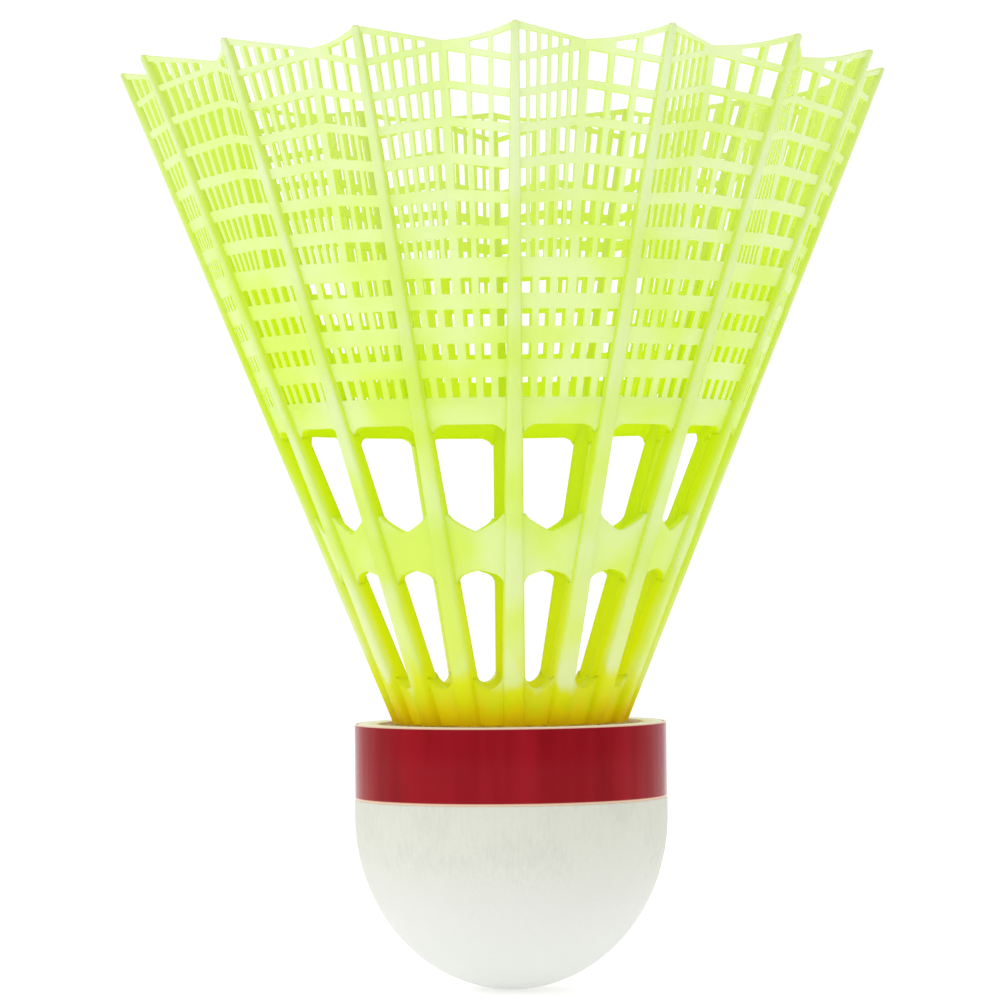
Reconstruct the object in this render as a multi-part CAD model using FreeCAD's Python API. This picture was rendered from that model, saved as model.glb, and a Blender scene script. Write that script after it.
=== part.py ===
import FreeCAD, Part
import math
import os

# Badminton shuttlecock with a moulded nylon skirt, cork down and +Z up.
# The origin is the lowest point of the nose, on the axis. Millimetres.
#
# The base is a cork core in a thin cover, with a tape band round its top.
# The skirt is one moulding, described zone by zone: a collar with a spigot
# that is glued into the cork, sixteen ribs, a hoop and a shoulder band that
# tie the ribs, and between the ribs a net that is pleated towards the rim.
# Each zone is a solid of its own, and neighbours meet face to face.

V = FreeCAD.Vector
ORIGIN = V(0, 0, 0)
Z_AXIS = V(0, 0, 1)

# Base
BASE_RADIUS = 13.5          # outside of the cover and of the tape
BASE_HEIGHT = 23.0
NOSE_HEIGHT = 15.0          # the rounded part, half an ellipse
COVER_THICKNESS = 0.6
COVER_LIP = 2.0             # how far the cover is folded in over the top
TAPE_WIDTH = 6.5
TAPE_THICKNESS = 0.2        # the tape lies in a recess of this depth

# Spigot of the skirt, in the bore of the cork
SPIGOT_RADIUS = 8.0
SPIGOT_LENGTH = 8.5
SPIGOT_WALL = 1.1
SPIGOT_FLOOR = 1.0
BORE_END_GAP = 0.3

# Cone of the skirt, to the backs of the ribs
RIB_COUNT = 16
SKIRT_HEIGHT = 56.4         # from the top of the base to the tips of the ribs
ROOT_RADIUS = 10.1
TIP_RADIUS = 33.2

# Ribs: a tapered bar, narrower on its back than on its inner face
RIB_BACK_WIDTH = 1.1        # at the root
RIB_FOOT_WIDTH = 2.1        # at the root
RIB_DEPTH = 2.0             # at the root, towards the axis
RIB_TIP_SCALE = 0.33        # size of the section at the tip, against the root

# Bands behind the ribs. Heights are above the top of the base.
BAND_INSET = 0.6            # from the backs of the ribs to the outside of a band
BAND_THICKNESS = 1.05
COLLAR_THICKNESS = 1.5
COLLAR_HEIGHT = 3.8         # at the ribs
COLLAR_DIP = 0.6            # how much lower the collar is between the ribs
HOOP_LOW = 12.3             # lower edge of the hoop at the ribs
HOOP_HIGH = 18.15           # upper edge of the hoop at the ribs
HOOP_LOW_DIP = 0.85         # how far its lower edge arches up between the ribs
HOOP_HIGH_DIP = 1.75        # how far its upper edge dips between the ribs
SHOULDER_LOW = 25.1
SHOULDER_HIGH = 27.3
WINDOW_CORNER = 1.3         # corners under the shoulder
WINDOW_MARGIN = 0.12        # strip of the band that shows beside a rib

# Net between the ribs, above the shoulder
NET_THICKNESS = 0.45
NET_INSET_TIP = 0.15        # the net starts level with the bands, and rises to this
RING_COUNT = 10
FIRST_RING = 2.3            # centre of the first ring, above the shoulder
LAST_RING = 2.85            # centre of the last ring, below the tips
RING_WIDTH_FIRST = 1.45
RING_WIDTH_LAST = 0.5
WIDE_RING = 3               # index of the wider ring, where the pleats start
WIDE_RING_EXTRA = 0.45
PLEAT_DEPTH = 2.9           # of the crease at the rim
PLEAT_RISE = 1.6            # of a ring at the crease, against the same ring at a rib
RIM_WIDTH = 0.55
RIM_DIP = 1.0               # of the rim at the crease, below the tips
PLAIN_CELLS = 3             # cells in half a panel, below the pleats
DENSE_CELLS = 6             # cells in the closely meshed half, in the pleats
OPEN_CELLS = 3              # cells in the open half, in the pleats
PLAIN_THREAD = 0.6
DENSE_THREAD = 0.36
OPEN_THREAD = 0.46
CREASE_WIDTH = 0.75         # of the thread along the crease, across both halves
LEAST_CELL = 0.35           # a lower cell is left out, and the net is solid there

SECTOR = 2 * math.pi / RIB_COUNT
HALF_SECTOR = SECTOR / 2
TOOL_REACH = 3.0            # how far a cutting tool reaches past a wall
TOOL_OVERRUN = 0.3          # the same, as a share of a half panel
TOLERANCE = 0.001


def cone_radius(height):
    """Radius of the backs of the ribs, at a height above the base."""
    return ROOT_RADIUS + (TIP_RADIUS - ROOT_RADIUS) * height / SKIRT_HEIGHT


def blend(start, end, share):
    return start + (end - start) * share


def level(height):
    """Z of a height above the top of the base."""
    return BASE_HEIGHT + height


def polygon_face(points):
    return Part.Face(Part.makePolygon(points + points[:1]))


def turned(shape, angle):
    """Copy of a shape, turned about the axis by an angle in radians."""
    copy = shape.copy()
    copy.rotate(ORIGIN, Z_AXIS, math.degrees(angle))
    return copy


def mirrored(shape):
    return shape.mirror(ORIGIN, V(0, 1, 0))


def revolved(points):
    """Solid of revolution of an outline given as (radius, z)."""
    outline = polygon_face([V(radius, 0, z) for radius, z in points])
    return outline.revolve(ORIGIN, Z_AXIS, 360)


def frustum_between(lower, upper):
    """Solid between two plane outlines, joined corner to corner by plane faces."""
    faces = [polygon_face(lower), polygon_face(upper)]
    count = len(lower)
    for i in range(count):
        j = (i + 1) % count
        faces.append(polygon_face([lower[i], lower[j], upper[j], upper[i]]))
    return Part.makeSolid(Part.makeShell(faces))


# Base ---------------------------------------------------------------------

def nose_solid(inset, top):
    """Round-nosed solid inside the outline of the base by an inset, up to a height."""
    radius = BASE_RADIUS - inset
    lowest = V(0, 0, inset)
    side = V(radius, 0, NOSE_HEIGHT)
    quarter_ellipse = Part.BezierCurve()
    quarter_ellipse.setPoles([lowest, V(radius, 0, inset), side])
    quarter_ellipse.setWeight(2, math.sqrt(0.5))
    corners = [side, V(radius, 0, top), V(0, 0, top), lowest]
    outline = Part.Wire([quarter_ellipse.toShape()] + Part.makePolygon(corners).Edges)
    return Part.Face(outline).revolve(ORIGIN, Z_AXIS, 360)


def lip_opening():
    """The round space inside the folded lip of the cover."""
    radius = BASE_RADIUS - COVER_LIP
    return Part.makeCylinder(radius, COVER_THICKNESS, V(0, 0, BASE_HEIGHT - COVER_THICKNESS))


def tape_band():
    low = BASE_HEIGHT - TAPE_WIDTH
    outer = Part.makeCylinder(BASE_RADIUS, TAPE_WIDTH, V(0, 0, low))
    inner = Part.makeCylinder(BASE_RADIUS - TAPE_THICKNESS, TAPE_WIDTH, V(0, 0, low))
    return outer.cut(inner)


def base_cover():
    cavity = nose_solid(COVER_THICKNESS, BASE_HEIGHT - COVER_THICKNESS)
    cover = nose_solid(0, BASE_HEIGHT).cut(cavity)
    return cover.cut(lip_opening()).cut(tape_band())


def cork_core():
    core = nose_solid(COVER_THICKNESS, BASE_HEIGHT - COVER_THICKNESS).fuse(lip_opening())
    depth = SPIGOT_LENGTH + BORE_END_GAP
    bore = Part.makeCylinder(SPIGOT_RADIUS, depth, V(0, 0, BASE_HEIGHT - depth))
    return core.cut(bore).removeSplitter()


# Ribs and bands -----------------------------------------------------------

def rib_scale(height):
    return blend(1, RIB_TIP_SCALE, height / SKIRT_HEIGHT)


def rib_section(height):
    """Outline of the rib on the +X side at a height: back, then foot."""
    scale = rib_scale(height)
    back = cone_radius(height)
    foot = back - RIB_DEPTH * scale
    half_back = RIB_BACK_WIDTH * scale / 2
    half_foot = RIB_FOOT_WIDTH * scale / 2
    z = level(height)
    return [V(back, -half_back, z), V(back, half_back, z), V(foot, half_foot, z), V(foot, -half_foot, z)]


def rib_bar():
    return frustum_between(rib_section(0), rib_section(SKIRT_HEIGHT))


def band_outline(low, high):
    """Section of a conical band between two heights, as (radius, z)."""
    outer_low = cone_radius(low) - BAND_INSET
    outer_high = cone_radius(high) - BAND_INSET
    return [
        (outer_low - BAND_THICKNESS, level(low)),
        (outer_low, level(low)),
        (outer_high, level(high)),
        (outer_high - BAND_THICKNESS, level(high)),
    ]


def collar_outline():
    """Section of the collar, whose inside starts at the bore of the spigot."""
    inner_high = cone_radius(COLLAR_HEIGHT) - BAND_INSET - COLLAR_THICKNESS
    return [
        (SPIGOT_RADIUS - SPIGOT_WALL, BASE_HEIGHT),
        (cone_radius(0) - BAND_INSET, BASE_HEIGHT),
        (cone_radius(COLLAR_HEIGHT) - BAND_INSET, level(COLLAR_HEIGHT)),
        (inner_high, level(COLLAR_HEIGHT)),
    ]


def ring_sector(outline):
    """One sector of a ring, centred on +X, half way between two ribs."""
    points = [V(radius, 0, z) for radius, z in outline]
    sector = polygon_face(points).revolve(ORIGIN, Z_AXIS, 360 / RIB_COUNT)
    return turned(sector, -HALF_SECTOR)


def full_ring(sector):
    """A ring of sectors round the axis, joined into one solid."""
    copies = [turned(sector, (i + 0.5) * SECTOR) for i in range(RIB_COUNT)]
    return copies[0].multiFuse(copies[1:]).removeSplitter()


def window_half_width(height):
    """Half the gap between two ribs at a height, less the strip beside each."""
    half_gap = (cone_radius(height) - BAND_INSET) * math.sin(HALF_SECTOR)
    return half_gap - RIB_FOOT_WIDTH * rib_scale(height) / 2 - WINDOW_MARGIN


def radial_prism(outline):
    """Prism along X through the wall, from an outline of (y, height)."""
    near = [V(0, y, level(height)) for y, height in outline]
    return polygon_face(near).extrude(V(TIP_RADIUS + TOOL_REACH, 0, 0))


def lower_window():
    floor = window_half_width(COLLAR_HEIGHT)
    head = window_half_width(HOOP_LOW)
    outline = [
        (-floor, COLLAR_HEIGHT),
        (0, COLLAR_HEIGHT - COLLAR_DIP),
        (floor, COLLAR_HEIGHT),
        (head, HOOP_LOW),
        (0, HOOP_LOW + HOOP_LOW_DIP),
        (-head, HOOP_LOW),
    ]
    return radial_prism(outline)


def upper_window():
    """Window with a V floor and a flat head with round corners."""
    floor = window_half_width(HOOP_HIGH)
    head = window_half_width(SHOULDER_LOW)
    outline = [
        (-floor, HOOP_HIGH),
        (0, HOOP_HIGH - HOOP_HIGH_DIP),
        (floor, HOOP_HIGH),
        (head, SHOULDER_LOW),
        (-head, SHOULDER_LOW),
    ]
    prism = radial_prism(outline)
    head_level = level(SHOULDER_LOW) - TOLERANCE
    corners = [
        edge
        for edge in prism.Edges
        if edge.BoundBox.ZMin > head_level and edge.BoundBox.XLength > TOLERANCE
    ]
    return prism.makeFillet(WINDOW_CORNER, corners)


def skirt_collar():
    """Collar round the root of the skirt, with the closed spigot below it."""
    crown = full_ring(ring_sector(collar_outline()).cut(lower_window()))
    foot = BASE_HEIGHT - SPIGOT_LENGTH
    bore_radius = SPIGOT_RADIUS - SPIGOT_WALL
    spigot = revolved([
        (0, foot),
        (SPIGOT_RADIUS, foot),
        (SPIGOT_RADIUS, BASE_HEIGHT),
        (bore_radius, BASE_HEIGHT),
        (bore_radius, foot + SPIGOT_FLOOR),
        (0, foot + SPIGOT_FLOOR),
    ])
    return crown.fuse(spigot).removeSplitter()


def hoop():
    sector = ring_sector(band_outline(HOOP_LOW, HOOP_HIGH))
    return full_ring(sector.cut(lower_window()).cut(upper_window()))


def shoulder_ring():
    sector = ring_sector(band_outline(SHOULDER_LOW - WINDOW_CORNER, SHOULDER_HIGH))
    return full_ring(sector.cut(upper_window()))


# Net ----------------------------------------------------------------------

def ring_height(index):
    """Height of the centre of a ring at a rib, above the base."""
    first = SHOULDER_HIGH + FIRST_RING
    last = SKIRT_HEIGHT - LAST_RING
    return blend(first, last, index / (RING_COUNT - 1))


def ring_width(index):
    width = blend(RING_WIDTH_FIRST, RING_WIDTH_LAST, index / (RING_COUNT - 1))
    return width + WIDE_RING_EXTRA if index == WIDE_RING else width


def pleat_share(height):
    """How far the pleats have opened at a height: 0 where they start, 1 at the tips."""
    start = ring_height(WIDE_RING)
    return max(0, (height - start) / (SKIRT_HEIGHT - start))


def net_radius(height):
    """Radius of the outside of the net at a rib."""
    share = (height - SHOULDER_HIGH) / (SKIRT_HEIGHT - SHOULDER_HIGH)
    return cone_radius(height) - blend(BAND_INSET, NET_INSET_TIP, share)


def crease_radius(height):
    return net_radius(height) * math.cos(HALF_SECTOR) - PLEAT_DEPTH * pleat_share(height)


def net_point(share, height):
    """Point on the outside of a half panel: share 0 is the rib, 1 is the crease."""
    at_rib = V(net_radius(height), 0, level(height))
    radius = crease_radius(height)
    at_crease = V(radius * math.cos(HALF_SECTOR), radius * math.sin(HALF_SECTOR), level(height))
    return at_rib + (at_crease - at_rib) * share


def net_section(height):
    """Level section of the unpierced half panel, as a closed wire."""
    rib = net_point(0, height)
    crease = net_point(1, height)
    along = crease - rib
    across = V(-along.y, along.x, 0).normalize()
    towards_crease = V(math.cos(HALF_SECTOR), math.sin(HALF_SECTOR), 0)
    crease_in = crease - towards_crease * (NET_THICKNESS / abs(across.dot(towards_crease)))
    rib_in = rib - V(NET_THICKNESS / abs(across.x), 0, 0)
    return Part.makePolygon([rib, crease, crease_in, rib_in, rib])


def half_panel_sheet():
    heights = [SHOULDER_HIGH, ring_height(WIDE_RING), SKIRT_HEIGHT]
    return Part.makeLoft([net_section(height) for height in heights], True, True)


def pierce_tool(corners):
    """Prism through the net, from the four corners of an opening on its outside."""
    normal = (corners[2] - corners[0]).cross(corners[3] - corners[1]).normalize()
    centre = (corners[0] + corners[1] + corners[2] + corners[3]) * 0.25
    reach = normal * TOOL_REACH / 2
    flat = [corner - normal * normal.dot(corner - centre) - reach for corner in corners]
    return polygon_face(flat).extrude(reach * 2)


def sloped_point(share, rib_height, rise):
    """Point of a ring that climbs by a rise from the rib to the crease."""
    return net_point(share, rib_height + rise * share)


def cell_spans(rib_height, rise, count, thread):
    """Start and end share of each cell across a half panel, from rib to crease."""
    rib = sloped_point(0, rib_height, rise)
    crease = sloped_point(1, rib_height, rise)
    length = rib.distanceToPoint(crease)
    start = RIB_FOOT_WIDTH * rib_scale(rib_height) / 2
    end = length - CREASE_WIDTH / 2
    width = (end - start - (count - 1) * thread) / count
    spans = []
    for i in range(count):
        left = start + i * (width + thread)
        spans.append((left / length, (left + width) / length))
    return spans


def row_edges(row):
    """Height at the rib and rise to the crease, of the two edges of a row."""
    if row == 0:
        low = SHOULDER_HIGH
        low_rise = 0
    else:
        low = ring_height(row - 1) + ring_width(row - 1) / 2
        low_rise = PLEAT_RISE * pleat_share(ring_height(row - 1))
    if row == RING_COUNT:
        high = SKIRT_HEIGHT - RIM_WIDTH
        high_rise = -RIM_DIP
    else:
        high = ring_height(row) - ring_width(row) / 2
        high_rise = PLEAT_RISE * pleat_share(ring_height(row))
    return (low, low_rise), (high, high_rise)


def row_tools(row, count, thread):
    (low, low_rise), (high, high_rise) = row_edges(row)
    low_spans = cell_spans(low, low_rise, count, thread)
    high_spans = cell_spans(high, high_rise, count, thread)
    tools = []
    for (low_left, low_right), (high_left, high_right) in zip(low_spans, high_spans):
        corners = [
            sloped_point(low_left, low, low_rise),
            sloped_point(low_right, low, low_rise),
            sloped_point(high_right, high, high_rise),
            sloped_point(high_left, high, high_rise),
        ]
        if corners[2].z - corners[1].z > LEAST_CELL:
            tools.append(pierce_tool(corners))
    return tools


def rim_tool():
    """Prism that takes away the sheet above the rim, from rib to crease and past both."""
    beside_rib = sloped_point(-TOOL_OVERRUN, SKIRT_HEIGHT, -RIM_DIP)
    past_crease = sloped_point(1 + TOOL_OVERRUN, SKIRT_HEIGHT, -RIM_DIP)
    lift = V(0, 0, TOOL_REACH)
    return pierce_tool([beside_rib, past_crease, past_crease + lift, beside_rib + lift])


def half_panel(cells, thread):
    """Pierced half panel on the left-hand side of the +X rib, up to the crease."""
    tools = []
    for row in range(RING_COUNT + 1):
        if row <= WIDE_RING:
            tools += row_tools(row, PLAIN_CELLS, PLAIN_THREAD)
        else:
            tools += row_tools(row, cells, thread)
    pierced = half_panel_sheet().cut(Part.makeCompound(tools))
    return pierced.cut(rim_tool()).cut(rib_bar())


# Sub-parts ----------------------------------------------------------------

def export(name, shape):
    """Write one sub-part, which is a single solid."""
    if len(shape.Solids) != 1:
        raise ValueError(f"{name} is {len(shape.Solids)} solids")
    shape.Solids[0].exportStep(f"parts/{name}.step")


def export_round_axis(name, shape):
    """Write a copy of a sub-part for each sector, numbered from the +X axis."""
    for i in range(RIB_COUNT):
        export(f"{name}_{i + 1:02d}", turned(shape, i * SECTOR))


def main():
    os.makedirs("parts", exist_ok=True)
    export("cork_core", cork_core())
    export("base_cover", base_cover())
    export("tape_band", tape_band())

    collar = skirt_collar()
    window_hoop = hoop()
    shoulder = shoulder_ring()
    export("skirt_collar", collar)
    export("window_hoop", window_hoop)
    export("shoulder_band", shoulder)

    export_round_axis("rib", rib_bar().cut(collar).cut(window_hoop).cut(shoulder))
    export_round_axis("dense_net", half_panel(DENSE_CELLS, DENSE_THREAD))
    open_half = mirrored(half_panel(OPEN_CELLS, OPEN_THREAD))
    export_round_axis("open_net", turned(open_half, SECTOR))


main()
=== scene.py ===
import math

import bpy
from mathutils import Matrix, Quaternion, Vector


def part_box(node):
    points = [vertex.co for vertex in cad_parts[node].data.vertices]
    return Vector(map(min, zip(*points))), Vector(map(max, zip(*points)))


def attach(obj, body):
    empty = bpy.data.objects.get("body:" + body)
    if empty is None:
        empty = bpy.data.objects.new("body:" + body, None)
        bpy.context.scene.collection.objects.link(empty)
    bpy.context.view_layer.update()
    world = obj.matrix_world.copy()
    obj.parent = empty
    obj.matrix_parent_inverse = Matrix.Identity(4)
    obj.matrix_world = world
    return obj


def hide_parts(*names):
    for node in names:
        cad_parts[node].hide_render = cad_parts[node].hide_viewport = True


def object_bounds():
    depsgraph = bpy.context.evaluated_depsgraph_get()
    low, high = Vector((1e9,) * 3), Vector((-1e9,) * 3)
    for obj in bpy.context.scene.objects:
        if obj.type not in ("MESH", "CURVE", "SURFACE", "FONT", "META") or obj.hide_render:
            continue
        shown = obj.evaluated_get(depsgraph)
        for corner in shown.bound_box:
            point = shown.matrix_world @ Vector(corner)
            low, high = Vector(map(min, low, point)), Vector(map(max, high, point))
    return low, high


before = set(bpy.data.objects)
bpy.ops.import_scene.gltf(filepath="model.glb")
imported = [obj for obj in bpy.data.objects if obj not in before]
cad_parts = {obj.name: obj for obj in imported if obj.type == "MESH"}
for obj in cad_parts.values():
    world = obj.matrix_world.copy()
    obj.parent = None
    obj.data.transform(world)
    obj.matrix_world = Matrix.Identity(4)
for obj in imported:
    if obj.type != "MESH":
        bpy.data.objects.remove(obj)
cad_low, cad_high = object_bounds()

# Looks of the badminton shuttlecock. Its lengths are in millimetres until a mesh is made.
# Depths of bumps, lamps and the camera are in metres.
MM = 0.001


def box_mm(node):
    """Lowest and highest corner of a CAD node, in millimetres."""
    low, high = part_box(node)
    return Vector(low) / MM, Vector(high) / MM


# Places read from the CAD --------------------------------------------------

RIB_HIGH = box_mm("rib_01")[1]
COLLAR_LOW, COLLAR_HIGH = box_mm("skirt_collar")
HOOP_LOW, HOOP_HIGH = box_mm("window_hoop")
SHOULDER_LOW, SHOULDER_HIGH = box_mm("shoulder_band")
TAPE_LOW, TAPE_HIGH = box_mm("tape_band")

BASE_RADIUS = TAPE_HIGH.x
BASE_TOP = TAPE_HIGH.z
TIP_RADIUS = RIB_HIGH.x
TIP_Z = RIB_HIGH.z

# Sizes that the boxes don't give, as in the CAD unless a note says otherwise --

COVER_THICKNESS = 0.6
COVER_LIP = 2.0             # how far the cover is folded in over the top
TAPE_THICKNESS = 0.2
NOSE_HEIGHT = 15.0          # the rounded part of the base
SPIGOT_RADIUS = 8.0
SPIGOT_WALL = 1.1
SPIGOT_FLOOR = 1.0
BORE_END_GAP = 0.3

RIB_COUNT = 16
RIB_BACK_WIDTH = 1.75       # wider than in the CAD, and rounded off
RIB_FOOT_WIDTH = 2.1
RIB_DEPTH = 2.0
RIB_TIP_SCALE = 0.33        # section at the tip, against the root
BAND_INSET = 0.6            # from the backs of the ribs to the outside of a band
BAND_THICKNESS = 0.75       # thinner than in the CAD, to end level with the ribs
COLLAR_FOOT_THICKNESS = 2.6
COLLAR_THICKNESS = 1.5
COLLAR_DIP = 0.6            # how the edges of the bands leave the level between ribs
HOOP_LOW_DIP = 0.85
HOOP_HIGH_DIP = 1.75
WINDOW_CORNER = 1.3

NET_THICKNESS = 0.45
NET_INSET_TIP = 0.15
RING_COUNT = 10
FIRST_RING = 2.3            # centre of the first ring, above the shoulder
LAST_RING = 2.85            # centre of the last ring, below the tips
RING_WIDTH_FIRST = 1.45
RING_WIDTH_LAST = 0.5
WIDE_RING = 3               # index of the wider ring, where the pleats start
WIDE_RING_EXTRA = 0.45
PLEAT_DEPTH = 2.9
PLEAT_RISE = 1.6
RIM_WIDTH = 0.55
RIM_DIP = 1.0
DENSE_CELLS = 6             # cells of half a panel in the pleats
OPEN_CELLS = 3
PLAIN_THREAD = 0.6
DENSE_THREAD = 0.36
OPEN_THREAD = 0.46
CREASE_WIDTH = 0.75
LEAST_CELL = 0.3            # a lower cell is left out (CAD: 0.35)
LEAST_RIM = 0.06            # between the last ring and the foot of the rim, at the crease

# Roundings that only show close up ------------------------------------------

RIB_ROUNDING = 0.34         # at the root, thinner with the rib
BAND_ROUNDING = 0.16
NET_ROUNDING = 0.06
COLLAR_CORNER = 0.95        # corners of the windows over the collar
HOOP_CORNER = 0.75          # corners of the windows over and under the hoop
VERTEX_ROUNDING = 0.18      # of the V between two ribs, as a share of half the gap
BAND_TUCK = 0.02            # of the bands below the net, whose foot laps over them
NET_FOOT = 0.5
RIM_SAG = 0.3               # of the rim of the open half, below a straight line

SECTOR = 2 * math.pi / RIB_COUNT
HALF_SECTOR = SECTOR / 2
CONE_SLOPE = (TIP_RADIUS - SHOULDER_HIGH.x - BAND_INSET) / (TIP_Z - SHOULDER_HIGH.z)


# Meshes --------------------------------------------------------------------

def smoothed(mesh):
    for polygon in mesh.polygons:
        polygon.use_smooth = True
    return mesh


def mesh_object(name, points, faces, material):
    """Smooth-shaded object from points in millimetres."""
    mesh = bpy.data.meshes.new(name)
    mesh.from_pydata([Vector(point) * MM for point in points], [], faces)
    mesh.validate()
    mesh.materials.append(material)
    thing = bpy.data.objects.new(name, smoothed(mesh))
    bpy.context.collection.objects.link(thing)
    return thing


def apply_modifiers(thing):
    graph = bpy.context.evaluated_depsgraph_get()
    mesh = bpy.data.meshes.new_from_object(thing.evaluated_get(graph), depsgraph=graph)
    mesh.name = thing.name
    thing.data = mesh
    thing.modifiers.clear()


def round_edges(thing, width, segments):
    """Round the sharp edges of an object, with its flat faces kept flat."""
    bevel = thing.modifiers.new("rounding", "BEVEL")
    bevel.width = width * MM
    bevel.segments = segments
    bevel.limit_method = "ANGLE"
    bevel.angle_limit = math.radians(40)
    bevel.harden_normals = True
    apply_modifiers(thing)


def copies_round_axis(first):
    """The object and its copies for the other sectors, each with its place in its mesh."""
    things = [first]
    for i in range(1, RIB_COUNT):
        copy = first.copy()
        copy.data = first.data.copy()
        copy.data.transform(Matrix.Rotation(i * SECTOR, 4, "Z"))
        bpy.context.collection.objects.link(copy)
        things.append(copy)
    for i, thing in enumerate(things):
        thing.name = f"{first.name.split('.')[0]}_{i + 1:02d}"
        thing.data.name = thing.name
    return things


def sweep(sections, closed):
    """Points and faces of a skin over sections with equal numbers of points.

    A closed sweep joins the last section to the first, and an open one has flat ends."""
    points = [point for section in sections for point in section]
    count = len(sections[0])
    faces = []
    for i in range(len(sections) if closed else len(sections) - 1):
        near = i * count
        far = (i + 1) % len(sections) * count
        for j in range(count):
            k = (j + 1) % count
            faces.append([near + j, near + k, far + k, far + j])
    if not closed:
        last = len(points) - count
        faces.append(list(range(count))[::-1])
        faces.append([last + j for j in range(count)])
    return points, faces


def rounded(corners, radius):
    """Outline with each corner of a polygon replaced by three points of a curve."""
    outline = []
    for i, corner in enumerate(corners):
        before = (corners[i - 1] - corner).normalized() * radius
        after = (corners[(i + 1) % len(corners)] - corner).normalized() * radius
        outline += [corner + before, corner + (before + after) / 4, corner + after]
    return outline


def lathe(name, profile, material, segments):
    """Revolved object. The profile is (radius, z), from the axis to the axis, or a closed ring."""
    points = []
    rings = []
    for radius, z in profile:
        if radius == 0:
            rings.append([len(points)])
            points.append((0, 0, z))
            continue
        ring = []
        for i in range(segments):
            ring.append(len(points))
            points.append(polar(radius, 2 * math.pi * i / segments, z))
        rings.append(ring)
    if profile[0][0]:
        rings.append(rings[0])
    faces = []
    for low, high in zip(rings, rings[1:]):
        for i in range(segments):
            j = (i + 1) % segments
            corners = [low[i % len(low)], low[j % len(low)], high[j % len(high)], high[i % len(high)]]
            if len(set(corners)) > 2:
                faces.append(list(dict.fromkeys(corners)))
    return mesh_object(name, points, faces, material)


# Materials -----------------------------------------------------------------

class Nodes:
    """A material's node tree, with short calls to add and join nodes."""

    def __init__(self, name):
        self.material = bpy.data.materials.new(name)
        self.material.use_nodes = True
        self.tree = self.material.node_tree
        self.tree.nodes.clear()

    def add(self, kind, inputs=None, **settings):
        node = self.tree.nodes.new(kind)
        for key, value in settings.items():
            setattr(node, key, value)
        for key, value in (inputs or {}).items():
            if isinstance(value, bpy.types.NodeSocket):
                self.tree.links.new(value, node.inputs[key])
            else:
                node.inputs[key].default_value = value
        return node

    def position(self):
        """The place on the object, in millimetres."""
        coords = self.add("ShaderNodeTexCoord").outputs["Object"]
        return self.scaled(coords, (1 / MM,) * 3)

    def scaled(self, vector, scale):
        return self.add("ShaderNodeMapping", {"Vector": vector, "Scale": scale}).outputs[0]

    def upright(self, place, share):
        """The place with its height multiplied by a share, which draws a pattern out upwards."""
        return self.scaled(place, (1.0, 1.0, share))

    def height(self, place):
        return self.add("ShaderNodeSeparateXYZ", {0: place}).outputs[2]

    def vector(self, operation, first, second=(0.0, 0.0, 0.0)):
        return self.add("ShaderNodeVectorMath", {0: first, 1: second}, operation=operation).outputs

    def ramp(self, value, low, high, at_low=0.0, at_high=1.0):
        """Smooth step of a value from one number to another."""
        inputs = {
            "Value": value,
            "From Min": low, "From Max": high,
            "To Min": at_low, "To Max": at_high,
        }
        return self.add("ShaderNodeMapRange", inputs, interpolation_type="SMOOTHSTEP").outputs[0]

    def mix_colours(self, share, first, second):
        inputs = {0: share, 6: first, 7: second}
        return self.add("ShaderNodeMix", inputs, data_type="RGBA").outputs[2]

    def math(self, operation, first, second):
        return self.add("ShaderNodeMath", {0: first, 1: second}, operation=operation).outputs[0]

    def noise(self, vector, scale, detail=3.0, roughness=0.5):
        inputs = {"Vector": vector, "Scale": scale, "Detail": detail, "Roughness": roughness}
        return self.add("ShaderNodeTexNoise", inputs).outputs["Fac"]

    def bump(self, height, distance, strength=1.0):
        inputs = {"Height": height, "Distance": distance, "Strength": strength}
        return self.add("ShaderNodeBump", inputs).outputs[0]

    def finish(self, shader):
        self.add("ShaderNodeOutputMaterial", {"Surface": shader.outputs[0]})
        return self.material


def rgb(red, green, blue):
    return (red, green, blue, 1.0)


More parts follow.
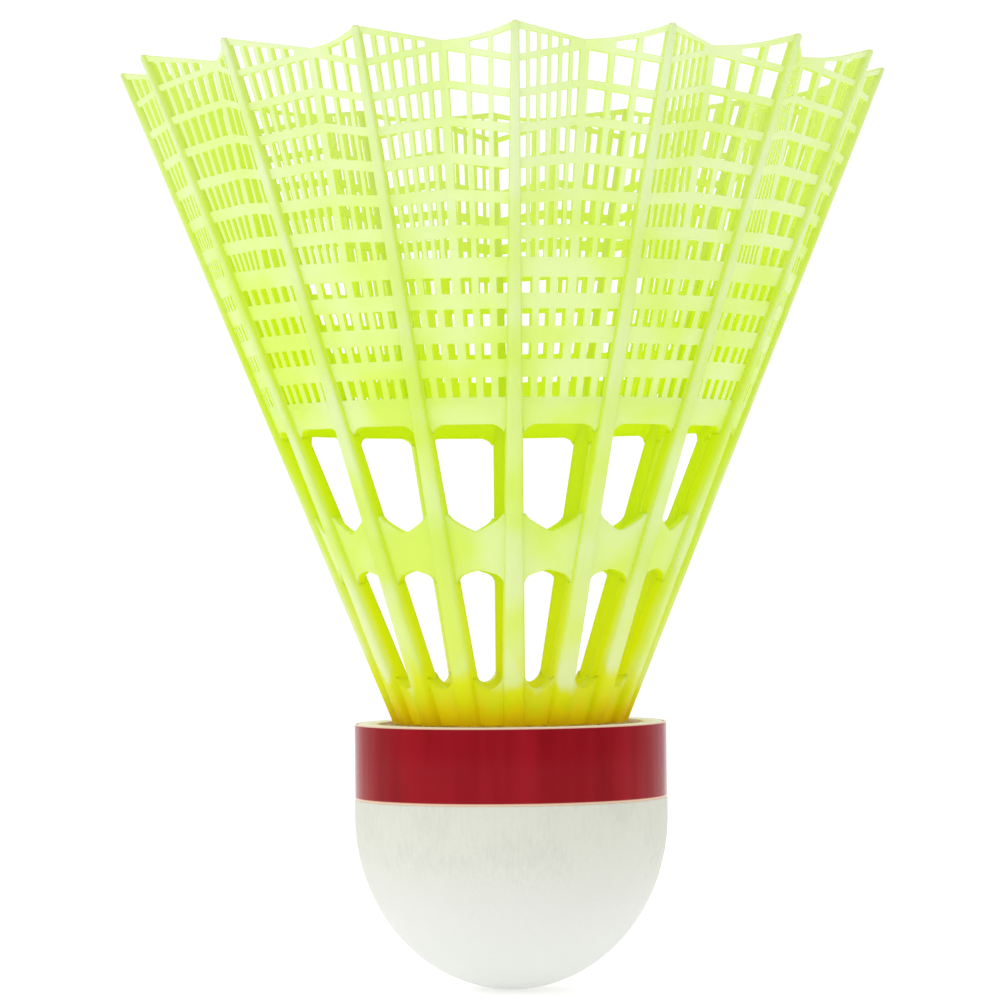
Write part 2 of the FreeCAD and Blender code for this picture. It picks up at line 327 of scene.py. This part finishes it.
def nylon(name, sheen_strength, inner):
    """Fluorescent yellow nylon with painted light: faces turned outwards painted pale as a sheen, faces
    turned inwards or deep in the windows painted a deep colour as shade, a painted glow, amber at its
    root.
    """
    n = Nodes(name)
    place = n.position()
    height = n.height(place)
    # Painted highlight: large soft patches where the pale sheen is paler still
    sheen_patches = n.ramp(n.noise(place, 0.12, 2.0), 0.35, 0.65)
    fine = n.noise(place, 3.5, 3.0)
    normal = n.bump(fine, 0.00003, 0.35)

    # The glue has crept up the collar, higher in some places than in others
    creep = n.ramp(n.noise(n.upright(place, 0.2), 0.45, 1.0), 0.35, 0.65, 0.7, 1.3)
    above_base = n.math("DIVIDE", n.math("SUBTRACT", height, BASE_TOP), creep)
    amber = n.ramp(above_base, 0.2, 2.5, 1.0, 0.0)
    clear_of_glue = n.ramp(above_base, 3.0, 5.5)

    # Painted sheen and shade: what faces away from the axis and, below the net, isn't far behind the
    # rib backs is painted pale as a sheen, the rest is painted the deep colour as shade
    from_axis = n.vector("MULTIPLY", place, (1.0, 1.0, 0.0))[0]
    away = n.vector("NORMALIZE", from_axis)[0]
    facing = n.vector("DOT_PRODUCT", n.add("ShaderNodeNewGeometry").outputs["Normal"], away)["Value"]
    rib_backs = n.math("ADD", n.math("MULTIPLY", height, CONE_SLOPE), cone_radius(0))
    depth = n.math("SUBTRACT", rib_backs, n.vector("LENGTH", from_axis)["Value"])
    shallow = n.ramp(depth, 0.7, 1.2, 1.0, 0.0)
    in_net = n.ramp(height, SHOULDER_LOW.z, SHOULDER_HIGH.z)
    outside = n.math("MULTIPLY", n.ramp(facing, 0.05, 0.5), n.math("MAXIMUM", shallow, in_net))
    outside = n.math("MULTIPLY", outside, clear_of_glue)

    # Painted highlight: both the pale and the deep colour are paled towards the tips
    pale_tip_highlight = n.ramp(height, SHOULDER_HIGH.z, TIP_Z, 0.0, 0.5)
    deep_tip_highlight = n.ramp(height, SHOULDER_HIGH.z, TIP_Z, 0.0, 0.45)
    upper = n.ramp(height, BASE_TOP + 2, SHOULDER_LOW.z - 4)
    # The pale colour is the painted sheen, the deep colour the painted shade
    pale = n.mix_colours(sheen_patches, rgb(0.79, 0.93, 0.4 * sheen_strength), rgb(0.87, 0.95, 1.2 * sheen_strength))
    pale = n.mix_colours(pale_tip_highlight, pale, rgb(0.90, 0.96, 0.85))
    deep = n.mix_colours(upper, rgb(0.84, 0.88, 0.0), inner)
    deep = n.mix_colours(amber, deep, rgb(1.0, 0.80, 0.0))
    deep = n.mix_colours(deep_tip_highlight, deep, pale)
    skin = n.mix_colours(outside, deep, pale)

    face = n.add("ShaderNodeBsdfPrincipled", {
        "Base Color": skin,
        "Roughness": n.ramp(fine, 0.3, 0.7, 0.36, 0.48),
        "Normal": normal,
        "IOR": 1.53,
        # Painted glow: the surface emits its deep colour, amber at the root too, which lifts the
        # painted shade; the nylon is no lamp
        "Emission Color": deep,
        "Emission Strength": 0.12,
        "Specular IOR Level": 0.35,
    })
    through = n.add("ShaderNodeBsdfTranslucent", {"Color": skin, "Normal": normal})
    return n.finish(n.add("ShaderNodeMixShader", {0: 0.35, 1: face.outputs[0], 2: through.outputs[0]}))


def leather():
    """Matt off-white synthetic leather, with pores and fine upright wrinkles; painted shade darkens the
    wrinkles and the top of the lip is painted white as a highlight.
    """
    n = Nodes("white_leather")
    place = n.position()
    height = n.height(place)
    pores = n.add("ShaderNodeTexVoronoi", {"Vector": place, "Scale": 3.2}, feature="F1").outputs[0]
    wrinkles = n.noise(n.upright(place, 0.25), 3.0, 4.0, 0.65)
    patches = n.ramp(n.noise(place, 0.14, 2.0), 0.4, 0.6, 0.7, 1.0)
    upper = n.math("MULTIPLY", n.ramp(height, TAPE_LOW.z - 12.0, TAPE_LOW.z - 3.0, 0.15, 1.0), patches)
    creases = n.math("MULTIPLY", wrinkles, upper)
    relief = n.math("ADD", creases, n.math("MULTIPLY", pores, 0.2))
    soil = n.noise(place, 0.16, 3.0)
    lower = n.mix_colours(soil, rgb(0.81, 0.82, 0.79), rgb(0.84, 0.85, 0.825))
    near_tape = n.ramp(height, TAPE_LOW.z - 11.0, TAPE_LOW.z - 1.0)
    # Painted shade: the creases of the wrinkles are darkened
    crease_shade = n.ramp(creases, 0.3, 0.6, 0.0, 0.4)
    # Painted highlight: the top of the lip is painted white
    lip_highlight = n.ramp(height, BASE_TOP - 0.25, BASE_TOP - 0.05)
    shade = n.mix_colours(near_tape, lower, rgb(0.80, 0.81, 0.725))
    shade = n.mix_colours(crease_shade, shade, rgb(0.70, 0.70, 0.64))
    shade = n.mix_colours(lip_highlight, shade, rgb(1.0, 1.0, 1.0))
    face = n.add("ShaderNodeBsdfPrincipled", {
        "Base Color": shade,
        "Roughness": n.ramp(wrinkles, 0.3, 0.7, 0.55, 0.7),
        "Normal": n.bump(relief, 0.00009, 0.9),
        "IOR": 1.45,
        "Specular IOR Level": 0.35,
    })
    return n.finish(face)


def tape():
    """Glossy deep red tape, with pale cut edges."""
    n = Nodes("red_tape")
    place = n.position()
    height = n.height(place)
    ripple = n.noise(n.upright(place, 0.12), 0.34, 2.0)
    grain = n.noise(place, 6.0, 2.0)
    red = n.mix_colours(n.ramp(ripple, 0.35, 0.65), rgb(0.275, 0.002, 0.008), rgb(0.35, 0.005, 0.014))
    low_edge = n.ramp(height, TAPE_LOW.z + 0.12, TAPE_LOW.z + 0.24, 1.0, 0.0)
    high_edge = n.ramp(height, TAPE_HIGH.z - 0.14, TAPE_HIGH.z - 0.06, 0.0, 1.0)
    edge = n.math("MAXIMUM", low_edge, high_edge)
    face = n.add("ShaderNodeBsdfPrincipled", {
        "Base Color": n.mix_colours(edge, red, rgb(0.90, 0.62, 0.45)),
        "Roughness": n.ramp(grain, 0.3, 0.7, 0.13, 0.20),
        "Normal": n.bump(ripple, 0.0003, 0.4),
        "IOR": 1.5,
        "Specular IOR Level": 0.1,
    })
    return n.finish(face)


def cork():
    """Composite cork: pressed granules of many browns."""
    n = Nodes("composite_cork")
    place = n.position()
    swirl = n.add("ShaderNodeTexNoise", {"Vector": place, "Scale": 1.2}).outputs["Color"]
    warped = n.add("ShaderNodeMix", {0: 0.12, 4: place, 5: swirl}, data_type="VECTOR").outputs[1]
    granules = n.add("ShaderNodeTexVoronoi", {"Vector": warped, "Scale": 0.9}, feature="F1")
    joints = n.add("ShaderNodeTexVoronoi", {"Vector": warped, "Scale": 0.9}, feature="DISTANCE_TO_EDGE")
    tone = n.add("ShaderNodeSeparateColor", {0: granules.outputs["Color"]}).outputs[0]
    brown = n.mix_colours(tone, rgb(0.46, 0.28, 0.13), rgb(0.72, 0.52, 0.30))
    gap = n.ramp(joints.outputs[0], 0.0, 0.09, 1.0, 0.0)
    face = n.add("ShaderNodeBsdfPrincipled", {
        "Base Color": n.mix_colours(gap, brown, rgb(0.20, 0.10, 0.04)),
        "Roughness": n.ramp(tone, 0.0, 1.0, 0.75, 0.9),
        "Normal": n.bump(n.math("ADD", gap, n.noise(place, 4.0)), 0.00006, -0.6),
    })
    return n.finish(face)


# Skirt: shapes -------------------------------------------------------------

def blend(start, end, share):
    return start + (end - start) * share


def polar(radius, angle, z):
    return Vector((radius * math.cos(angle), radius * math.sin(angle), z))


def cone_radius(z):
    """Radius of the backs of the ribs."""
    return TIP_RADIUS - (TIP_Z - z) * CONE_SLOPE


def rib_scale(z):
    return blend(1, RIB_TIP_SCALE, (z - BASE_TOP) / (TIP_Z - BASE_TOP))


def skin_radius(z):
    """Radius of the outside of the bands and the net, beside a rib."""
    share = max(0, (z - SHOULDER_HIGH.z) / (TIP_Z - SHOULDER_HIGH.z))
    return cone_radius(z) - blend(BAND_INSET, NET_INSET_TIP, share)


def ring_z(index):
    """Middle of a ring of the net, beside a rib."""
    return blend(SHOULDER_HIGH.z + FIRST_RING, TIP_Z - LAST_RING, index / (RING_COUNT - 1))


def ring_width(index):
    width = blend(RING_WIDTH_FIRST, RING_WIDTH_LAST, index / (RING_COUNT - 1))
    return width + WIDE_RING_EXTRA if index == WIDE_RING else width


def pleat_share(z):
    """How far the pleats have opened: 0 where they start, 1 at the tips."""
    start = ring_z(WIDE_RING)
    return max(0, (z - start) / (TIP_Z - start))


def net_point(share, z, depth):
    """Point in the wall of the net: share 0 is the rib, 1 the crease, depth is inwards."""
    beside_rib = polar(skin_radius(z), 0, z)
    crease_radius = skin_radius(z) * math.cos(HALF_SECTOR) - PLEAT_DEPTH * pleat_share(z)
    facet = beside_rib.lerp(polar(crease_radius, HALF_SECTOR, z), share)
    angle = math.atan2(facet.y, facet.x)
    flatness = min(1, max(0, z - SHOULDER_HIGH.z) / (ring_z(WIDE_RING) - SHOULDER_HIGH.z))
    radius = blend(skin_radius(z), facet.xy.length, flatness)
    along = polar(crease_radius, HALF_SECTOR, z) - beside_rib
    slant = math.cos(math.atan2(along.x, -along.y) - math.pi + angle)
    return polar(radius - depth / abs(slant), angle, z)


# Skirt: ribs and bands -------------------------------------------------------

def rib_section(z, size):
    """Section of the rib on the +X side. Size 1 is full, and less draws it in at the tip."""
    scale = rib_scale(z)
    back = cone_radius(z)
    foot = back - RIB_DEPTH * scale
    half_back = RIB_BACK_WIDTH * scale / 2 * size
    half_foot = RIB_FOOT_WIDTH * scale / 2 * size
    middle = (back + foot) / 2
    corners = [
        Vector((blend(middle, back, size), -half_back, z)),
        Vector((blend(middle, back, size), half_back, z)),
        Vector((blend(middle, foot, size), half_foot, z)),
        Vector((blend(middle, foot, size), -half_foot, z)),
    ]
    return rounded(corners, RIB_ROUNDING * scale * size)


def make_ribs(material):
    stations = 14
    tip_length = 0.25
    tip_size = 0.6
    heights = [blend(BASE_TOP, TIP_Z - tip_length, i / stations) for i in range(stations + 1)]
    sections = [rib_section(z, 1) for z in heights]
    sections.append(rib_section(TIP_Z, tip_size))
    points, faces = sweep(sections, closed=False)
    first = mesh_object("nylon_rib", points, faces, material)
    for i, rib in enumerate(copies_round_axis(first)):
        finish_piece(rib, "nylon", f"rib_{i + 1:02d}")


def half_gap(z):
    """Length of the outside of a band from the middle of a rib to the middle of a window."""
    return skin_radius(z) * HALF_SECTOR


def corner_rise(share, z, radius):
    """How far the round corner beside a rib reaches over the straight edge of a window."""
    scale = rib_scale(z)
    depth_share = BAND_INSET / (RIB_DEPTH * scale)
    rib_side = blend(RIB_BACK_WIDTH, RIB_FOOT_WIDTH, depth_share) * scale / 2
    from_rib = share * half_gap(z) - rib_side
    if from_rib < 0:
        return 0
    inside = max(radius - from_rib, 0)
    return radius - math.sqrt(radius ** 2 - inside ** 2)


def vee(share):
    """1 at a rib, falling straight to about 0 at the middle of the window, rounded there."""
    from_middle = 1 - share
    return math.sqrt(from_middle ** 2 + VERTEX_ROUNDING ** 2) - VERTEX_ROUNDING * share


def band_edge(z, dip, corner, share):
    """Height of the edge of a band beside a window. A corner above 0 widens the band upwards."""
    reach = corner_rise(share, z, abs(corner))
    return z - dip * (1 - vee(share)) + math.copysign(reach, corner)


def make_band(name, node, low_edge, high_edge, low_depth, high_depth, material):
    """Conical ring whose edges are functions of the share from a rib to mid-window."""
    half_columns = 14
    sections = []
    for column in range(2 * half_columns * RIB_COUNT):
        sector, step = divmod(column, 2 * half_columns)
        share = 1 - abs(step / half_columns - 1)
        angle = (sector + step / (2 * half_columns)) * SECTOR
        low = low_edge(share)
        high = high_edge(share)
        corners = [
            Vector((0, low)), Vector((0, high)),
            Vector((high_depth, high)), Vector((low_depth, low)),
        ]
        outline = rounded(corners, BAND_ROUNDING)
        sections.append([polar(skin_radius(z) - BAND_TUCK - depth, angle, z) for depth, z in outline])
    points, faces = sweep(sections, closed=True)
    finish_piece(mesh_object(name, points, faces, material), "nylon", node)


def make_bands(material):
    make_band(
        "nylon_collar", "skirt_collar",
        lambda share: BASE_TOP,
        lambda share: band_edge(COLLAR_HIGH.z, COLLAR_DIP, COLLAR_CORNER, share),
        COLLAR_FOOT_THICKNESS, COLLAR_THICKNESS, material)
    make_band(
        "nylon_hoop", "window_hoop",
        lambda share: band_edge(HOOP_LOW.z, -HOOP_LOW_DIP, -HOOP_CORNER, share),
        lambda share: band_edge(HOOP_HIGH.z, HOOP_HIGH_DIP, HOOP_CORNER, share),
        BAND_THICKNESS, BAND_THICKNESS, material)
    make_band(
        "nylon_shoulder", "shoulder_band",
        lambda share: band_edge(SHOULDER_LOW.z + WINDOW_CORNER, 0, -WINDOW_CORNER, share),
        lambda share: SHOULDER_HIGH.z,
        BAND_THICKNESS, BAND_THICKNESS, material)


def make_spigot(material):
    """Closed cup below the collar, glued into the cork."""
    bore = SPIGOT_RADIUS - SPIGOT_WALL
    foot = COLLAR_LOW.z
    floor = foot + SPIGOT_FLOOR
    ease = 0.4
    profile = [
        (0, foot), (SPIGOT_RADIUS - ease, foot), (SPIGOT_RADIUS, foot + ease),
        (SPIGOT_RADIUS, BASE_TOP + ease), (bore, BASE_TOP + ease),
        (bore, floor + ease), (bore - ease, floor), (0, floor),
    ]
    finish_piece(lathe("nylon_spigot", profile, material, 64), "nylon", "skirt_collar")


# Skirt: net --------------------------------------------------------------------
#
# A panel of the net lies between two ribs. It is a grid of lines that run across it and
# columns that run up it, in which some squares are wall and the others are left open.
# The first column is inside a rib, then come two for each cell of the closely meshed half,
# the crease, two for each cell of the open half, and the last is inside the next rib.

CREASE = 1 + 2 * DENSE_CELLS
LAST_COLUMN = CREASE + 2 * OPEN_CELLS + 1
PLAIN = "plain"
PLEATED = "pleated"
SOLID = "solid"


def cell_edges(start, end, count, thread):
    """Distances of both edges of each cell, spread evenly between two places."""
    width = (end - start - (count - 1) * thread) / count
    edges = []
    for i in range(count):
        left = start + i * (width + thread)
        edges += [left, left + width]
    return edges


def dense_edges(start, end, mesh_kind):
    """Columns of the closely meshed half. In the plain part each of its cells spans two."""
    if mesh_kind == PLEATED:
        return cell_edges(start, end, DENSE_CELLS, DENSE_THREAD)
    edges = []
    plain = cell_edges(start, end, DENSE_CELLS // 2, PLAIN_THREAD)
    for left, right in zip(plain[::2], plain[1::2]):
        edges += [left, blend(left, right, 0.4), blend(left, right, 0.6), right]
    return edges


def net_lines():
    """For each line: height at the ribs, rise to the crease, kind of its columns, what is above."""
    lines = [(SHOULDER_HIGH.z - NET_FOOT, 0, PLAIN, SOLID), (SHOULDER_HIGH.z, 0, PLAIN, PLAIN)]
    for index in range(RING_COUNT):
        middle = ring_z(index)
        half = ring_width(index) / 2
        rise = PLEAT_RISE * pleat_share(middle)
        below = PLAIN if index <= WIDE_RING else PLEATED
        above = PLAIN if index < WIDE_RING else PLEATED
        lines.append((middle - half, rise, below, SOLID))
        lines.append((middle + half, rise, above, above))
    rim_foot = TIP_Z - RIM_WIDTH
    last_ring_at_crease = lines[-1][0] + lines[-1][1]
    lines.append((rim_foot, max(-RIM_DIP, last_ring_at_crease + LEAST_RIM - rim_foot), PLEATED, SOLID))
    lines.append((TIP_Z, -RIM_DIP, PLEATED, SOLID))
    return lines


def line_points(z, rise, mesh_kind):
    """Outer and inner point of each column, on one line of a panel."""
    length = (net_point(1, z + rise, 0) - net_point(0, z, 0)).length
    start = RIB_FOOT_WIDTH * rib_scale(z) / 2
    end = length - CREASE_WIDTH / 2
    dense = [0] + dense_edges(start, end, mesh_kind) + [length]
    open_thread = PLAIN_THREAD if mesh_kind == PLAIN else OPEN_THREAD
    opened = [0] + cell_edges(start, end, OPEN_CELLS, open_thread)
    points = []
    for distance in dense:
        share = distance / length
        points.append([net_point(share, z + rise * share, depth) for depth in (0, NET_THICKNESS)])
    to_next_rib = Matrix.Rotation(SECTOR, 3, "Z")
    sag = RIM_SAG if rise < 0 else 0
    for distance in reversed(opened):
        share = distance / length
        height = z + rise * share - sag * math.sin(math.pi * share)
        pair = [net_point(share, height, depth) for depth in (0, NET_THICKNESS)]
        points.append([to_next_rib @ Vector((point.x, -point.y, point.z)) for point in pair])
    return points


def is_thread(strip, mesh_kind):
    """Whether the strip between a column and the next is wall beside the cells."""
    if strip in (0, CREASE - 1, CREASE, LAST_COLUMN - 1):
        return True
    if strip > CREASE:
        return (strip - CREASE) % 2 == 0
    if mesh_kind == PLEATED:
        return strip % 2 == 0
    return strip % 4 == 0


def net_grid():
    """Points and faces of one panel."""
    lines = net_lines()
    rows = [line_points(z, rise, kind) for z, rise, kind, above in lines]
    walls = set()
    for i, (z, rise, kind, above) in enumerate(lines[:-1]):
        for strip in range(LAST_COLUMN):
            gap = min(rows[i + 1][column][0].z - rows[i][column][0].z for column in (strip, strip + 1))
            if above == SOLID or is_thread(strip, above) or gap < LEAST_CELL:
                walls.add((i, strip))
    points = [point for row in rows for pair in row for point in pair]

    def vertex(corner, side):
        row, column = corner
        return (row * (LAST_COLUMN + 1) + column) * 2 + side

    faces = []
    for i, strip in sorted(walls):
        corners = [(i, strip), (i, strip + 1), (i + 1, strip + 1), (i + 1, strip)]
        outer = [vertex(corner, 0) for corner in corners]
        inner = [vertex(corner, 1) for corner in corners]
        faces.append(outer)
        faces.append(inner[::-1])
        beyond = [(i - 1, strip), (i, strip + 1), (i + 1, strip), (i, strip - 1)]
        for side, neighbour in enumerate(beyond):
            if neighbour not in walls:
                after = (side + 1) % 4
                faces.append([outer[after], outer[side], inner[side], inner[after]])
    return points, faces


def make_net(material):
    points, faces = net_grid()
    first = mesh_object("nylon_net", points, faces, material)
    round_edges(first, NET_ROUNDING, 2)
    for i, panel in enumerate(copies_round_axis(first)):
        finish_piece(panel, "nylon", f"dense_net_{i + 1:02d}", f"open_net_{i + 1:02d}")


# Base ------------------------------------------------------------------------

def finish_piece(piece, slot, *nodes):
    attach(piece, "root")
    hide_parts(*nodes)


def nose_profile(radius, foot, steps):
    """Quarter ellipse from the axis to the side of the base."""
    points = []
    for i in range(steps + 1):
        angle = math.pi / 2 * i / steps
        points.append((radius * math.sin(angle), NOSE_HEIGHT - (NOSE_HEIGHT - foot) * math.cos(angle)))
    return points


def make_cover(material):
    """Thin cover of the base, stepped in under the tape and folded in over the top."""
    under = BASE_RADIUS - TAPE_THICKNESS
    lip = BASE_RADIUS - COVER_LIP
    inside = BASE_RADIUS - COVER_THICKNESS
    ease = 0.08
    profile = nose_profile(BASE_RADIUS, 0, 40) + [
        (BASE_RADIUS, TAPE_LOW.z - 2 * ease),
        (BASE_RADIUS - ease / 2, TAPE_LOW.z - ease / 2),
        (BASE_RADIUS - ease, TAPE_LOW.z),
        (under, TAPE_LOW.z),
        (under, BASE_TOP - 3 * ease),
        (under - ease, BASE_TOP - ease),
        (under - 3 * ease, BASE_TOP),
        (lip + ease, BASE_TOP),
        (lip, BASE_TOP - ease),
        (lip, BASE_TOP - COVER_THICKNESS),
        (inside, BASE_TOP - COVER_THICKNESS),
    ]
    profile += nose_profile(inside, COVER_THICKNESS, 12)[::-1]
    finish_piece(lathe("leather_cover", profile, material, 128), "cover", "base_cover")


def make_tape(material):
    """Tape wound once round the base, its end lapped over its start at the back."""
    segments = 192
    lap = 10
    lap_angle = math.radians(70)
    lift = 0.05
    edge = 0.05
    sections = []
    for i in range(segments + lap + 1):
        angle = lap_angle + 2 * math.pi * i / segments
        raised = lift * min(1, max(0, i - segments + 1) / 2)
        outer = BASE_RADIUS - lift + raised
        inner = BASE_RADIUS - TAPE_THICKNESS + raised
        corners = [
            Vector((inner, TAPE_LOW.z)), Vector((outer, TAPE_LOW.z)),
            Vector((outer, TAPE_HIGH.z)), Vector((inner, TAPE_HIGH.z)),
        ]
        sections.append([polar(radius, angle, z) for radius, z in rounded(corners, edge)])
    points, faces = sweep(sections, closed=False)
    finish_piece(mesh_object("red_tape", points, faces, material), "tape", "tape_band")


def make_core(material):
    """Cork core with the bore for the spigot."""
    radius = BASE_RADIUS - COVER_THICKNESS
    lip = BASE_RADIUS - COVER_LIP
    step = BASE_TOP - COVER_THICKNESS
    floor = COLLAR_LOW.z - BORE_END_GAP
    edge = 0.2
    profile = nose_profile(radius, COVER_THICKNESS, 24) + [
        (radius, step), (lip, step), (lip, BASE_TOP - edge), (lip - edge, BASE_TOP),
        (SPIGOT_RADIUS + edge, BASE_TOP), (SPIGOT_RADIUS, BASE_TOP - edge),
        (SPIGOT_RADIUS, floor), (0, floor),
    ]
    finish_piece(lathe("cork_body", profile, material, 96), "cork", "cork_core")


# Stage, lights and camera ------------------------------------------------------

def make_floor():
    n = Nodes("floor_paper")
    fleck = n.noise(n.position(), 0.02, 2.0)
    paper = n.mix_colours(fleck, rgb(0.86, 0.86, 0.855), rgb(0.88, 0.88, 0.875))
    face = n.add("ShaderNodeBsdfPrincipled", {
        "Base Color": paper,
        "Roughness": 0.9,
        "Emission Color": rgb(1.0, 1.0, 1.0),
        "Emission Strength": 0.35,
    })
    reach = 12000
    corners = [(-reach, -reach, 0), (reach, -reach, 0), (reach, reach, 0), (-reach, reach, 0)]
    floor = mesh_object("floor", corners, [[0, 1, 2, 3]], n.finish(face))


def make_world():
    """White studio, bright behind the object and dimmer on the camera's side."""
    world = bpy.data.worlds.new("studio")
    bpy.context.scene.world = world
    world.use_nodes = True
    tree = world.node_tree
    direction = tree.nodes.new("ShaderNodeTexCoord")
    axes = tree.nodes.new("ShaderNodeSeparateXYZ")
    strength = tree.nodes.new("ShaderNodeMapRange")
    strength.interpolation_type = "SMOOTHSTEP"
    for name, value in (("From Min", -0.3), ("From Max", 0.8), ("To Min", 0.62), ("To Max", 1.06)):
        strength.inputs[name].default_value = value
    background = tree.nodes["Background"]
    background.inputs["Color"].default_value = rgb(1.0, 1.0, 1.0)
    tree.links.new(direction.outputs["Generated"], axes.inputs[0])
    tree.links.new(axes.outputs["Y"], strength.inputs["Value"])
    tree.links.new(strength.outputs[0], background.inputs["Strength"])


def make_light(name, azimuth, elevation, distance, size, power):
    """Soft square light aimed at the middle of the object. Azimuth 0 is on the camera's side."""
    aim = (cad_low + cad_high) / 2
    a = math.radians(azimuth)
    e = math.radians(elevation)
    away = Vector((math.sin(a) * math.cos(e), -math.cos(a) * math.cos(e), math.sin(e)))
    lamp = bpy.data.lights.new(name, "AREA")
    lamp.shape = "SQUARE"
    lamp.size = size
    lamp.energy = power
    light = bpy.data.objects.new(name, lamp)
    light.location = aim + away * distance
    light.rotation_mode = "QUATERNION"
    light.rotation_quaternion = (-away).to_track_quat("-Z", "Y")
    bpy.context.collection.objects.link(light)


def make_lights():
    make_light("key", azimuth=-58, elevation=32, distance=0.55, size=0.35, power=0.42)
    make_light("top", azimuth=10, elevation=75, distance=0.60, size=0.40, power=0.20)


def make_camera():
    """Camera at the level of the hoop, a little to the left of the nearest rib."""
    bearing = math.radians(-90 - 1.7)
    distance = 0.352
    eye_height = 0.0367
    aim_height = 0.0422
    sideways = -0.00069
    roll = math.radians(-0.62)
    eye = Vector((math.cos(bearing), math.sin(bearing), 0)) * distance
    eye.z = eye_height
    right = Vector((-math.sin(bearing), math.cos(bearing), 0))
    aim = Vector((0, 0, aim_height)) + right * sideways
    lens = bpy.data.cameras.new("camera")
    lens.lens = 146.5
    lens.sensor_width = 36
    camera = bpy.data.objects.new("camera", lens)
    camera.location = eye
    camera.rotation_mode = "QUATERNION"
    camera.rotation_quaternion = (aim - eye).to_track_quat("-Z", "Y") @ Quaternion((0, 0, 1), roll)
    bpy.context.collection.objects.link(camera)
    bpy.context.scene.camera = camera


def make_all():
    make_camera()
    wall_nylon = nylon("wall_nylon", sheen_strength=0.47, inner=rgb(0.78, 0.92, 0.0))
    # The ribs' copy is painted paler, with a stronger painted sheen and a darker deep colour for
    # painted shade
    make_ribs(nylon("rib_nylon", sheen_strength=0.52, inner=rgb(0.75, 0.88, 0.0)))
    make_bands(wall_nylon)
    make_spigot(wall_nylon)
    make_net(wall_nylon)
    make_cover(leather())
    make_tape(tape())
    make_core(cork())
    make_floor()
    make_world()
    make_lights()
    bpy.context.scene.view_settings.view_transform = "Standard"


make_all()
